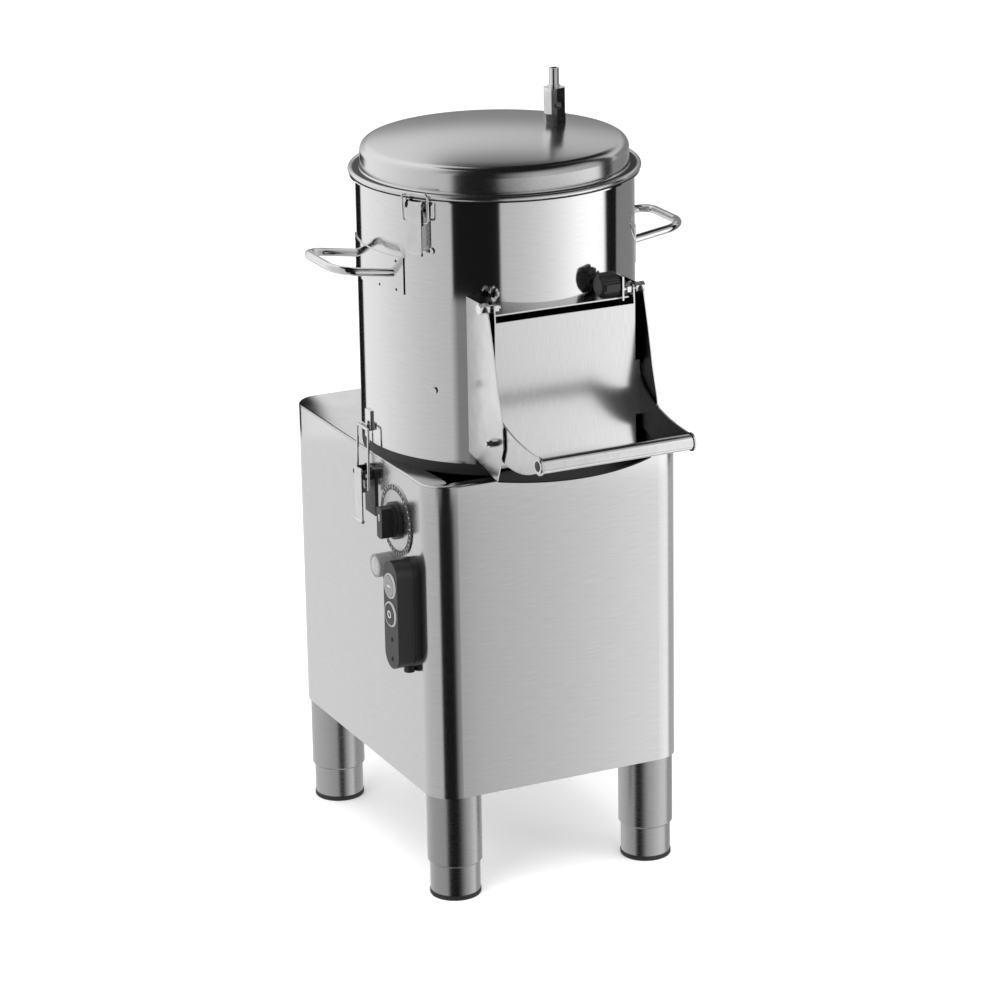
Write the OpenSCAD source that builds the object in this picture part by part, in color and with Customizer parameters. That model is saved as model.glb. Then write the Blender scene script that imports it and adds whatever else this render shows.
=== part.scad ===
// Electric potato peeler: a drum on a floor-standing cabinet, with a domed lid,
// a discharge chute with a lifting door, and its drive inside the cabinet.
// The origin is on the floor under the drum's axis. The chute faces -Y and the
// controls are on the -X side.

/* [Cabinet] */
// Width of the cabinet, which the drum follows
cabinet_w = 300; // [290:1:320]
// How far the cabinet stands out behind the drum, for the motor
motor_room = 82; // [76:1:102]
// Height of the cabinet's lower edge above the floor
cabinet_low = 121; // [110:1:130]
// Height of the cabinet's top above the floor
cabinet_top = 475; // [460:1:490]
// How far the drum's front stands out past the cabinet's
front_overhang = 2; // [0:0.5:3]
// Radius of the cabinet's upright corners
corner_r = 31; // [26:1:34]
// Thickness of all the cabinet and chute sheet
sheet_t = 1.5; // [1.2:0.1:1.6]

/* [Legs] */
// Diameter of the fixed leg sleeves
sleeve_d = 60; // [58:1:61]
// Thickness of the sleeves' wall round the adjustable feet
sleeve_wall = 2.5; // [2:0.5:4]
// Height of the sleeves' lower edge above the floor
sleeve_low = 38.5; // [36:0.5:42]
// Distance from the cabinet's side to a leg's axis
leg_inset_x = 33; // [31:1:36]
// Distance from the cabinet's front or back to a leg's axis
leg_inset_y = 30.5; // [30.5:0.5:34]
// Length of foot that stays hidden in its sleeve
foot_overlap = 52; // [45:1:60]

/* [Drum] */
// How far the drum stands in from each side of the cabinet
drum_inset = 0; // [0:0.5:1]
// Height of the drum from its lower edge to its top flange
drum_h = 285.8; // [282:0.2:290]
// Thickness of the drum wall
drum_t = 1.5; // [1.2:0.1:1.5]
// How far the chute opening's sides stand in from the cheeks
mouth_inset = 10; // [9:0.5:15]
// Height of the chute opening
mouth_h = 155; // [150:1:156]

/* [Lid] */
// How far the lid's rim stands out past the drum
rim_reach = 7.5; // [7:0.1:8.5]
// Height of the band that forms the rim
rim_h = 5.6; // [5:0.1:6]
// How far the dome stands in from the drum's outside
dome_inset = 5.5; // [4:0.5:7]
// Height of the lid's upright wall above its rim
dome_foot = 16; // [13:0.5:20]
// Radius of the lid's shoulder
shoulder_r = 11; // [8:0.5:14]
// Slope of the lid's crown where it meets the shoulder, in degrees
crown_slope = 5.5; // [4:0.5:7]
// Thickness of the lid sheet
lid_t = 1.2; // [1:0.1:1.4]
// Direction of the lid latch round the drum, from +X
latch_angle = -147; // [-150:1:-144]

/* [Chute] */
// Distance between the inner faces of the chute's cheeks
chute_w = 180; // [178:1:182]
// Gap between the door and each cheek
door_gap = 8; // [7.5:0.5:9]
// How far the cheeks' foremost point stands out past the drum
cheek_out = 53.5; // [50:0.5:57]
// How far the bar's axis stands out past the drum
bar_out = 131; // [128:1:136]
// Height of the bar's axis above the drum's lower edge
bar_rise = 42.8; // [40:0.2:45]
// Diameter of the door's bar
bar_d = 17; // [15:1:18]

/* [Drive] */
// Diameter of the drive shaft
shaft_d = 20; // [18:1:22]
// Gap between the abrasive disc and the drum's outside
disc_inset = 9; // [9:0.5:12]
// Outer diameter of the driven pulley
big_pulley_d = 160; // [150:2:164]
// Outer diameter of the motor pulley
small_pulley_d = 50; // [46:2:52]
// Distance from the motor's axis to the cabinet's back
motor_inset = 82; // [78:1:86]
// Diameter of the motor
motor_d = 124; // [112:2:126]
// Outer diameter of the drain pipe
drain_d = 50; // [46:1:50]

/* [Controls] */
// Diameter of the timer's dial plate
dial_d = 79; // [76:1:80]
// Diameter of the timer knob's skirt
knob_d = 41; // [39:1:42]
// Width of the push-button box
box_w = 37; // [36:1:38]
// Height of the push-button box
box_h = 123; // [120:1:124]
// Depth of the push-button box
box_depth = 26; // [24:1:27]
// Diameter of the push buttons
button_d = 23; // [21:1:24]

/* [Hidden] */

$fn = 144;
// how far a cutting solid runs past what it cuts
over = 1;
// radial clearance of everything that turns or slides in a bore
running = 0.05;
// sideways gap between moving parts and their neighbours
side_gap = 0.5;
// gap under what rests on a seat
seat_gap = 0.2;

// Cabinet
drum_d = cabinet_w - 2 * drum_inset;
front_y = front_overhang - drum_d / 2;
back_y = drum_d / 2 + motor_room;
cabinet_d = back_y - front_y;
mid_y = (front_y + back_y) / 2;
side_x = cabinet_w / 2;
top_plate_t = 2;
shell_top = cabinet_top - top_plate_t;
panel_side = 62.5;
panel_w = cabinet_w - 2 * panel_side;
panel_rise = 44;
panel_low = cabinet_low + panel_rise;
panel_drop = 28;
panel_top = shell_top - panel_drop;
panel_h = panel_top - panel_low;
panel_x = -30;
panel_margin = 12;
panel_screw_inset = 7;
panel_screw_len = 5;
louvre_w = 110;
louvre_h = 6;
louvre_rise_share = 0.196;
louvre_rise = louvre_rise_share * panel_h;
louvre_pitch_share = 0.0786;
louvre_pitch = louvre_pitch_share * panel_h;
louvre_count = 8;

// Legs
leg_x = side_x - leg_inset_x;
leg_front = front_y + leg_inset_y;
leg_back = back_y - leg_inset_y;
leg_chamfer = 2.5;
foot_gap = 0.08;
foot_d = sleeve_d - 2 * sleeve_wall;
foot_top = sleeve_low + foot_overlap;
foot_pad_h = 4;
foot_pad_inset = 1.5;
sleeve_roof = 6;

// Seat, pan and drum
drum_r = drum_d / 2;
drum_inner = drum_r - drum_t;
seat_h = 12;
seat_inset = 0.5;
seat_r = drum_r - seat_inset;
seat_w = 8.5;
seat_top = cabinet_top + seat_h;
drum_low = seat_top + seat_gap;
drum_top = drum_low + drum_h;
drum_flange_w = 6;
drum_flange_r = drum_r + drum_flange_w;
drum_flange_t = 1.5;
drum_foot_w = 6;
drum_foot_t = 1.8;
pan_r = seat_r - seat_w;
pan_depth = 27;
pan_low = cabinet_top - pan_depth;
pan_lip_gap = 1;
pan_lip = seat_top - pan_lip_gap;
pan_floor_top = pan_low + sheet_t;
liner_t = 3;
liner_rise = 21;
liner_drop = 11;
liner_low = drum_low + liner_rise;
liner_top = drum_top - liner_drop;
liner_half_angle = 19;
liner_angles = [-142.3, 142.3, 37.7];
liner_screw_shares = [0.272, 0.804];
liner_screw_z = [for (share = liner_screw_shares) drum_low + share * drum_h];
screw_hole_r = 2.5;
screw_head_r = 4.3;
screw_head_h = 2.2;

// Lid
rim_r = drum_r + rim_reach;
rim_gap = 1;
rim_low = drum_top + rim_gap;
rim_top = rim_low + rim_h;
rim_lip_t = 1.2;
rim_round = 1.2;
dome_r = drum_r - dome_inset;
dome_low = rim_top + dome_foot;
crown_r = (dome_r - shoulder_r + shoulder_r * sin(crown_slope)) / sin(crown_slope);
crown_z = dome_low + (shoulder_r - crown_r) * cos(crown_slope);
dome_top = crown_z + crown_r;
shoulder_steps = 14;
crown_steps = 8;
gasket_gap = 0.3;
gasket_low = drum_top + gasket_gap;
gasket_inset = 1;
gasket_w = 9.5;

// Handles
rod_r = 4.5;
grip_reach = 57;
grip_rise = 10;
grip_half = 47;
grip_elbow = 24;
root_drop = 86.8;
root_z = drum_top - root_drop;
root_depth = 10;
plate_half_angle = 24.5;
plate_drop = 21;
plate_low = root_z - plate_drop;
plate_h = 40;
plate_r = drum_r + sheet_t;

// Chute
mouth_rise = 13;
mouth_low = drum_low + mouth_rise;
mouth_w = chute_w - 2 * mouth_inset;
mouth_top = mouth_low + mouth_h;
cheek_x = chute_w / 2;
cheek_gap = 0.3;
cheek_over = 16;
cheek_reach = drum_r + cheek_out;
cheek_low = drum_low + cheek_gap;
cheek_top = mouth_top + cheek_over;
cheek_back = 45;
// the cheek's front edge from top to bottom: shares of its reach past the drum, and of its height
cheek_shares = [
    [0.19, 1], [0.31, 0.99], [0.38, 0.965], [0.42, 0.93], [0.5, 0.85], [0.58, 0.766], [0.665, 0.665],
    [0.75, 0.553], [0.85, 0.46], [0.94, 0.38], [0.98, 0.325], [1, 0.27], [1, 0.21]
];
floor_out = 37;
floor_in = 44;
floor_front = drum_r + floor_out;
floor_back = drum_r - floor_in;
floor_rise = 16.5;
floor_slope = atan2(floor_rise, floor_front - floor_back);
floor_bow = 19;
floor_arc_r = (cheek_x * cheek_x + floor_bow * floor_bow) / (2 * floor_bow);
roof_over = 4;
roof_top = mouth_top + roof_over;
roof_low = roof_top - sheet_t;
roof_out = 11;
roof_shoulder_in = 2;
roof_front = drum_r + roof_out;
roof_shoulder = drum_r - roof_shoulder_in;
roof_inset = 12;
lug_inset = 24;
lug_x = cheek_x - lug_inset;
lug_t = 2;
lug_out = 20;
lug_front = drum_r + lug_out;
lug_back = drum_r;
lug_h = 26;
bolt_r = 3;
bolt_head_r = 6;
bolt_head_h = 5;
bolt_nut_h = 4.5;
bolt_inset = 15;
bolt_inner_x = cheek_x - bolt_inset;
bolt_tail = 3;
stud_out = 31;
stud_rise = 41;
stud_reach = drum_r + stud_out;
stud_z = drum_low + stud_rise;
stud_r = 3;
stud_len = 11;
stud_nut_r = 5;
stud_nut_h = 3.3;
stud_washer_r = 4.5;

// Door
door_w = chute_w - 2 * door_gap;
door_x = door_w / 2;
pivot_out = 9;
pivot_over = 12;
door_out = 17.5;
door_rise = 6.3;
door_drop = 15;
pivot_reach = drum_r + pivot_out;
pivot_z = mouth_top + pivot_over;
door_reach = drum_r + door_out;
door_low = drum_low + door_rise;
door_top = pivot_z - door_drop;
door_flange = 9.5;
door_flange_rise = 4;
door_flange_low = door_low + door_flange_rise;
door_ear_r = 7.5;
arm_gap = 1;
arm_t = 2;
arm_x = cheek_x - arm_gap - arm_t;
bar_reach = drum_r + bar_out;
arm_root_in = 7.5;
arm_root = door_reach - arm_root_in;
arm_rise = 46;
arm_foot = 4.5;
arm_crest = bar_reach - door_reach + arm_foot;
arm_half = (bar_reach - arm_root) / 2;
arm_belly_reach = arm_root + arm_half;
arm_belly_sag = 14.8;
arm_belly_drop = 6.5;
arm_belly_r = (arm_half * arm_half + arm_belly_sag * arm_belly_sag) / (2 * arm_belly_sag);
arm_eye_w = 1.5;
tie_rise = 43;
tie_low = drum_low + tie_rise;
tie_h = 60;
bar_r = bar_d / 2;
bar_z = drum_low + bar_rise;
arm_belly_z = bar_z - arm_belly_drop - arm_belly_sag + arm_belly_r;
bar_half = cheek_x;
clamp_out = 0.5;
clamp_over = 6.9;
clamp_reach = pivot_reach + clamp_out;
clamp_z = pivot_z + clamp_over;
clamp_r = 14;
clamp_bevel = 4;
clamp_inset = 48;
clamp_x = cheek_x - clamp_inset;
clamp_len = 20;
clamp_stem_r = 3;
clamp_lobes = 8;
clamp_lobe_r = 1.8;

// Lid hinge
hinge_angle = latch_angle + 180;
hinge_out = 18;
hinge_rise = 3;
hinge_z = rim_low + hinge_rise;
hinge_pin_r = 2;
hinge_knuckle_r = 4;
hinge_ear_r = 4.5;
hinge_ear_t = 2.5;
hinge_half = 8.5;
hinge_strap_t = 2;
hinge_plate_t = 2;
hinge_plate_h = 30;
hinge_plate_drop = 9;
hinge_plate_half = 14.5;
hinge_ear_h = 14;

// Toggle latches: each is drawn with x outward from its wall and z up from its pin
ear_t = 1.5;
latch_plate_t = 2;
latch_plate_w = 2;
lever_t = 1.5;
lever_curl_r = 2;
lever_cheek_w = 3.5;
lever_pin_out = 1.2;
bail_hook_gap = 0.4;
bail_foot_in = 1;
bail_bend_share = 2.5;

// Lid latch
lid_pin_drop = 5;
lid_pin_z = drum_top - lid_pin_drop;
lid_pin_out = 9.5;
lid_pin_r = 1.5;
lid_ear = 10.5;
lid_ear_r = 4.5;
lid_plate_low = -14;
lid_plate_high = 3;
lid_lever_out = 11;
lid_lever_low = -53;
lid_lever_high = 3;
lid_wire_r = 1.25;
lid_foot_out = 7.5;
lid_foot_low = -19;
lid_leg_y = 15.5;
lid_bar_out = rim_r - drum_r + bail_hook_gap + lid_wire_r;
lid_bar_up = rim_top - lid_pin_z;

// Side latches and their keepers on the drum
side_latch_y = 8;
side_pin_drop = 23;
side_pin_z = cabinet_top - side_pin_drop;
side_pin_out = 11;
side_pin_r = 2;
side_ear = 11.5;
side_ear_r = 5.5;
side_plate_low = -47;
side_plate_high = 6;
side_lever_out = 16;
side_lever_low = -53;
side_lever_high = 7;
side_wire_r = 1.5;
side_foot_out = 10;
side_foot_low = -16;
side_leg_y = 14.5;
keeper_w = 14;
keeper_rise = 13;
keeper_low = drum_low + keeper_rise;
keeper_h = 22;
keeper_t = 2.2;
keeper_nose = 6.5;
keeper_lip_h = 8;
keeper_lip_t = 1.7;
side_bar_out = drum_r + keeper_nose + bail_hook_gap + side_wire_r - side_x;
side_bar_up = keeper_low + keeper_lip_h / 2 - side_pin_z;

// Water inlet on the lid
inlet_x = 81.5;
inlet_y = 18.5;
inlet_sink = 3;
inlet_nut_r = 12.5;
inlet_nut_h = 10.5;
inlet_block_w = 20.5;
inlet_chamfer = 3;
inlet_block_h = 28;
inlet_turn = 18;
inlet_port_r = 4.4;
inlet_port_depth = 4;
inlet_port_shift = 3.5;
inlet_collar_r = 6.6;
inlet_collar_h = 2.5;
inlet_spigot_r = 5.5;
inlet_spigot_h = 18.5;
inlet_bore_r = 3.5;
inlet_out = sqrt(inlet_x * inlet_x + inlet_y * inlet_y);
inlet_seat_z = crown_z + sqrt(crown_r * crown_r - inlet_out * inlet_out);
inlet_block_z = inlet_seat_z + inlet_nut_h;
inlet_collar_z = inlet_block_z + inlet_block_h;

// Drive
shaft_r = shaft_d / 2;
bearing_r = 17;
bearing_h = 12;
bearing_inset = 2;
housing_r = 25;
housing_flange_r = 50;
housing_flange_t = 6;
housing_drop = 64;
housing_low = pan_low - housing_drop;
housing_neck_r = 22;
housing_neck_h = 26;
housing_top = pan_low + housing_neck_h;
disc_r = drum_r - disc_inset;
disc_t = 6;
disc_gap = 3.8;
disc_low = drum_low + disc_gap;
disc_top = disc_low + 2 * disc_t;
hub_r = 26;
hub_h = 15;
hub_low = disc_low - hub_h;
wave_h = 9;
wave_r = 26;
wave_in = 16;
wave_inset = 6;
wave_out = disc_r - wave_inset;
wave_sink = 5;
cap_r = 18;
cap_h = 10;
cap_bevel = 5;
paddle_w = 8;
paddle_gap = 4;
paddle_low = pan_floor_top + paddle_gap;
paddle_in = 30;
paddle_inset = 7;
paddle_out = pan_r - paddle_inset;
pulley_h = 18;
pulley_drop = 32;
pulley_low = housing_low - pulley_drop;
groove_depth = 7.5;
groove_h = 9;
belt_gap = 0.4;
belt_t = 6;
belt_h = 8;
big_r = big_pulley_d / 2;
small_r = small_pulley_d / 2;
shaft_tail = 4;
shaft_low = pulley_low - shaft_tail;
belt_centres = back_y - motor_inset;
motor_r = motor_d / 2;
motor_rise = 31;
motor_drop = 18;
motor_top = pulley_low - motor_drop;
motor_low = cabinet_low + motor_rise;
motor_h = motor_top - motor_low;
motor_shaft_r = 7;
motor_shaft_in = 30;
motor_shaft_out = 2;
motor_shaft_gap = 1;
motor_fin_h = 4;
motor_fin_t = 2;
motor_fin_count = 16;
motor_band_h = 12;
motor_band_inset = 10;
bracket_t = 4;
bracket_half = 64;
bracket_depth = 104;
bracket_gap = 3;
bracket_reach = pan_r + bracket_gap;
bracket_leg_front = sqrt(bracket_reach * bracket_reach - bracket_half * bracket_half);
bracket_leg_depth = belt_centres + bracket_depth / 2 - bracket_leg_front;
bracket_hole_r = 11;
drain_r = drain_d / 2;
drain_inset = 58;
drain_x = side_x - drain_inset;
drain_y = 30;
drain_drop = 43;
drain_z = pan_low - drain_drop;
drain_bend = 40;
spigot_out = 59;
spigot_end = back_y + spigot_out;
spigot_step = 1;
pipe_r = drain_r - spigot_step;
gland_inset = 45;
gland_rise = 22;
gland_x = gland_inset - side_x;
gland_z = cabinet_low + gland_rise;
gland_r = 9;
gland_bore_r = 5;
gland_neck_r = 6;
gland_neck_h = 8;
gland_nut_r = 10;
gland_nut_h = 5;
gland_cone_h = 11;
gland_cone_top_r = 7;

// Controls
dial_share = 0.392;
dial_drop = 59;
dial_y = dial_share * front_y;
dial_z = cabinet_top - dial_drop;
dial_t = 1.5;
dial_hole_r = 4;
spindle_r = 3;
spindle_in = 21;
knob_gap = 0.3;
knob_skirt_h = 4;
knob_step_h = 3;
knob_step_inset = 4;
knob_grip_h = 15;
knob_grip_w = 13;
knob_grip_inset = 3;
timer_w = 48;
timer_depth = 42;
lamp_behind = 25;
lamp_drop = 116;
lamp_y = dial_y + lamp_behind;
lamp_z = cabinet_top - lamp_drop;
lamp_r = 13;
lamp_out = 16;
lamp_barrel_r = 10;
lamp_in = 24;
box_ahead = 37;
box_drop = 151;
box_y = dial_y - box_ahead;
box_z = cabinet_top - box_drop;
box_base_t = 6;
box_step = 0.8;
box_wall = 2.5;
box_gland_r = 6;
box_gland_h = 6;
button_r = button_d / 2;
start_rise = 33;
stop_rise = 1;
button_z = [box_z + start_rise, box_z + stop_rise];
button_out = 2;
button_cap_h = 6;
button_len = 14;
button_stem_r = 5;
button_gap = 0.08;

// A rectangle with round corners, centred on [x, y]
module round_rect(w, d, r, y = 0) {
    translate([0, y]) {
        square([w - 2 * r, d], center = true);
        square([w, d - 2 * r], center = true);
        for (x = [-1, 1], v = [-1, 1])
            translate([x * (w / 2 - r), v * (d / 2 - r)]) circle(r);
    }
}

// A ring between two radii, from z up by h
module tube(outer, inner, z, h) {
    translate([0, 0, z]) difference() {
        cylinder(r = outer, h = h);
        translate([0, 0, -over]) cylinder(r = inner, h = h + 2 * over);
    }
}

// A sector of a ring, centred on an angle
module arc_band(outer, inner, middle, half, z, h) {
    translate([0, 0, z]) rotate([0, 0, middle - half]) rotate_extrude(angle = 2 * half)
        translate([inner, 0]) square([outer - inner, h]);
}

// A cylinder along X, from x to x + h
module rod_x(r, x, h, y, z, sides = $fn) {
    translate([x, y, z]) rotate([0, 90, 0]) cylinder(r = r, h = h, $fn = sides);
}

// A sheet that stands square to X: an outline in Y and Z, from x to x + t
module sheet_x(x, t) {
    translate([x, 0, 0]) rotate([90, 0, 90]) linear_extrude(t) children();
}

// What stands on the drum wall, turned to an angle round it
module on_drum(angle, z) {
    rotate([0, 0, angle]) translate([drum_r, 0, z]) children();
}

// What stands on a side wall at a latch: side is -1 on the left and 1 on the right
module on_side(side) {
    translate([side * side_x, side_latch_y, side_pin_z]) rotate([0, 0, side > 0 ? 0 : 180])
        children();
}

// One at each of the four legs
module at_legs() {
    for (x = [-leg_x, leg_x], y = [leg_front, leg_back]) translate([x, y, 0]) children();
}

// Cabinet

module cabinet_outline(inset) {
    round_rect(cabinet_w - 2 * inset, cabinet_d - 2 * inset, corner_r - inset, mid_y);
}

module panel_screw_places() {
    for (x = [-1, 1], z = [panel_low + panel_screw_inset, panel_top - panel_screw_inset])
        translate([panel_x + x * (panel_w / 2 - panel_screw_inset), back_y, z])
            rotate([-90, 0, 0]) children();
}

// A hole along Y through the cabinet's back
module back_hole(r, x, z) {
    translate([x, back_y + over, z]) rotate([90, 0, 0]) cylinder(r = r, h = sheet_t + 2 * over);
}

module cabinet_shell() {
    left = -side_x - over;
    wall = sheet_t + 2 * over;
    color("lightgray") difference() {
        translate([0, 0, cabinet_low]) linear_extrude(shell_top - cabinet_low) difference() {
            cabinet_outline(0);
            cabinet_outline(sheet_t);
        }
        translate([panel_x - panel_w / 2 + panel_margin, back_y - wall + over, panel_low + panel_margin])
            cube([panel_w - 2 * panel_margin, wall, panel_h - 2 * panel_margin]);
        back_hole(pipe_r, drain_x, drain_z);
        back_hole(gland_neck_r, gland_x, gland_z);
        rod_x(dial_hole_r, left, wall, dial_y, dial_z);
        rod_x(lamp_barrel_r, left, wall, lamp_y, lamp_z);
        panel_screw_places() translate([0, 0, -wall + over]) cylinder(r = screw_hole_r, h = wall);
    }
}

module top_plate() {
    color("silver") difference() {
        translate([0, 0, shell_top]) linear_extrude(top_plate_t) cabinet_outline(0);
        translate([0, 0, shell_top - over]) cylinder(r = pan_r, h = top_plate_t + 2 * over);
    }
}

module base_plate() {
    color("silver") translate([0, 0, cabinet_low]) linear_extrude(top_plate_t) cabinet_outline(sheet_t);
}

module rear_panel() {
    color("lightgray") difference() {
        translate([panel_x - panel_w / 2, back_y, panel_low]) cube([panel_w, sheet_t, panel_h]);
        for (i = [0 : louvre_count - 1])
            translate([panel_x - louvre_w / 2, back_y - over, panel_low + louvre_rise + i * louvre_pitch])
                cube([louvre_w, sheet_t + 2 * over, louvre_h]);
        panel_screw_places() translate([0, 0, -over]) cylinder(r = screw_hole_r, h = sheet_t + 2 * over);
    }
}

module rear_panel_screws() {
    color("silver") panel_screw_places() {
        translate([0, 0, sheet_t]) cylinder(r = screw_head_r, h = screw_head_h);
        translate([0, 0, -panel_screw_len]) cylinder(r = screw_hole_r, h = panel_screw_len + sheet_t);
    }
}

module leg_sleeves() {
    color("silver") at_legs() difference() {
        rotate_extrude() polygon([
            [0, sleeve_low], [sleeve_d / 2 - leg_chamfer, sleeve_low],
            [sleeve_d / 2, sleeve_low + leg_chamfer],
            [sleeve_d / 2, cabinet_low], [0, cabinet_low]
        ]);
        translate([0, 0, sleeve_low - over])
            cylinder(r = foot_d / 2 + foot_gap, h = cabinet_low - sleeve_low - sleeve_roof + over);
    }
}

module adjustable_foot(x, y) {
    color("silver") translate([x, y, 0]) rotate_extrude() polygon([
        [0, 0], [foot_d / 2 - foot_pad_inset, 0], [foot_d / 2 - foot_pad_inset, foot_pad_h],
        [foot_d / 2, foot_pad_h + foot_pad_inset], [foot_d / 2, foot_top], [0, foot_top]
    ]);
}

// Seat, pan and drain

module seat_ring() {
    color("dimgray") tube(seat_r, pan_r, cabinet_top, seat_top - cabinet_top);
}

module sump_pan() {
    color("silver") difference() {
        translate([0, 0, pan_low]) cylinder(r = pan_r, h = pan_lip - pan_low);
        translate([0, 0, pan_floor_top]) cylinder(r = pan_r - sheet_t, h = pan_lip);
        translate([0, 0, pan_low - over]) cylinder(r = housing_neck_r, h = sheet_t + 2 * over);
        translate([drain_x, drain_y, pan_low - over])
            cylinder(r = pipe_r - sheet_t, h = sheet_t + 2 * over);
    }
}

module drain_path(r, extra) {
    bend_z = drain_z + drain_bend;
    translate([drain_x, drain_y, bend_z]) cylinder(r = r, h = pan_low - bend_z + extra);
    translate([drain_x, drain_y + drain_bend, bend_z]) rotate([90, 0, 90]) rotate([0, 0, 180])
        rotate_extrude(angle = 90) translate([drain_bend, 0]) circle(r);
    translate([drain_x, drain_y + drain_bend, drain_z]) rotate([-90, 0, 0])
        cylinder(r = r, h = spigot_end - drain_y - drain_bend + extra);
}

module drain_pipe() {
    color("silver") difference() {
        union() {
            drain_path(pipe_r, 0);
            translate([drain_x, back_y, drain_z]) rotate([-90, 0, 0])
                cylinder(r = drain_r, h = spigot_end - back_y);
        }
        drain_path(pipe_r - sheet_t, over);
    }
}

module cable_gland() {
    length = gland_neck_h + gland_nut_h + gland_cone_h;
    color("dimgray") translate([gland_x, back_y, gland_z]) rotate([-90, 0, 0]) difference() {
        union() {
            translate([0, 0, -gland_neck_h]) cylinder(r = gland_neck_r, h = gland_neck_h);
            cylinder(r = gland_nut_r, h = gland_nut_h, $fn = 6);
            translate([0, 0, gland_nut_h]) cylinder(r1 = gland_r, r2 = gland_cone_top_r, h = gland_cone_h);
        }
        translate([0, 0, -gland_neck_h - over]) cylinder(r = gland_bore_r, h = length + 2 * over);
    }
}

// Drive

module bearing_housing() {
    color("gray") difference() {
        union() {
            translate([0, 0, housing_low]) cylinder(r = housing_r, h = pan_low - housing_low);
            translate([0, 0, pan_low - housing_flange_t])
                cylinder(r = housing_flange_r, h = housing_flange_t);
            translate([0, 0, pan_low]) cylinder(r = housing_neck_r, h = housing_top - pan_low);
        }
        translate([0, 0, housing_low - over])
            cylinder(r = bearing_r, h = housing_top - housing_low + 2 * over);
    }
}

module spindle_bearings() {
    color("darkgray") for (z = [housing_low + bearing_inset, housing_top - bearing_h - bearing_inset])
        tube(bearing_r, shaft_r + running, z, bearing_h);
}

module drive_shaft() {
    color("silver") {
        translate([0, 0, shaft_low]) cylinder(r = shaft_r, h = disc_top - shaft_low);
        translate([0, 0, disc_top]) rotate_extrude() polygon([
            [0, 0], [cap_r, 0], [cap_r, cap_h / 2], [cap_r - cap_bevel, cap_h], [0, cap_h]
        ]);
    }
}

// A pulley with one square groove, from z up
module pulley(outer, bore, z) {
    groove_z = (pulley_h - groove_h) / 2;
    color("gray") translate([0, 0, z]) rotate_extrude() polygon([
        [bore, 0], [outer, 0], [outer, groove_z], [outer - groove_depth, groove_z],
        [outer - groove_depth, groove_z + groove_h], [outer, groove_z + groove_h], [outer, pulley_h],
        [bore, pulley_h]
    ]);
}

module driven_pulley() {
    pulley(big_r, shaft_r, pulley_low);
}

module motor_pulley() {
    shaft_foot = motor_top - motor_shaft_in + motor_shaft_gap;
    translate([0, belt_centres, 0]) {
        pulley(small_r, motor_shaft_r, pulley_low);
        color("gray") translate([0, 0, shaft_foot])
            cylinder(r = motor_shaft_r, h = pulley_low + pulley_h + motor_shaft_out - shaft_foot);
    }
}

module drive_belt() {
    big_in = big_r - groove_depth + belt_gap;
    small_in = small_r - groove_depth + belt_gap;
    lean = asin((big_in - small_in) / belt_centres);
    run = belt_centres * cos(lean);
    color("black") translate([0, 0, pulley_low + (pulley_h - belt_h) / 2]) {
        rotate([0, 0, 180 - lean]) rotate_extrude(angle = 180 + 2 * lean)
            translate([big_in, 0]) square([belt_t, belt_h]);
        translate([0, belt_centres, 0]) rotate([0, 0, lean]) rotate_extrude(angle = 180 - 2 * lean)
            translate([small_in, 0]) square([belt_t, belt_h]);
        for (turn = [0, 1]) mirror([turn, 0, 0]) rotate([0, 0, lean])
            translate([big_in, 0, 0]) cube([belt_t, run, belt_h]);
    }
}

module motor_bracket() {
    color("gray") difference() {
        union() {
            translate([-bracket_half, belt_centres - bracket_depth / 2, motor_top])
                cube([2 * bracket_half, bracket_depth, bracket_t]);
            for (x = [-bracket_half, bracket_half - bracket_t])
                translate([x, bracket_leg_front, motor_top])
                    cube([bracket_t, bracket_leg_depth, shell_top - motor_top]);
        }
        translate([0, belt_centres, motor_top - over])
            cylinder(r = bracket_hole_r, h = bracket_t + 2 * over);
    }
}

module motor_body() {
    core_r = motor_r - motor_fin_h;
    color("dimgray") translate([0, belt_centres, 0]) difference() {
        union() {
            translate([0, 0, motor_low]) cylinder(r = core_r, h = motor_h);
            for (z = [motor_low + motor_band_inset, motor_top - motor_band_h])
                translate([0, 0, z]) cylinder(r = motor_r, h = motor_band_h);
            for (i = [0 : motor_fin_count - 1]) rotate([0, 0, (i + 0.5) * 360 / motor_fin_count])
                translate([core_r - motor_fin_t, -motor_fin_t / 2, motor_low + motor_band_inset])
                    cube([motor_fin_h + motor_fin_t / 2, motor_fin_t, motor_h - motor_band_inset]);
        }
        translate([0, 0, motor_top - motor_shaft_in])
            cylinder(r = motor_shaft_r + running, h = motor_shaft_in + over);
    }
}

module disc_carrier() {
    color("silver") {
        difference() {
            union() {
                translate([0, 0, disc_low]) cylinder(r = disc_r, h = disc_t);
                translate([0, 0, hub_low]) cylinder(r = hub_r, h = hub_h);
            }
            translate([0, 0, hub_low - over]) cylinder(r = shaft_r, h = hub_h + disc_t + 2 * over);
        }
        for (turn = [0, 180]) rotate([0, 0, turn])
            translate([paddle_in, -paddle_w / 2, paddle_low])
                cube([paddle_out - paddle_in, paddle_w, disc_low - paddle_low]);
    }
}

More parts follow.
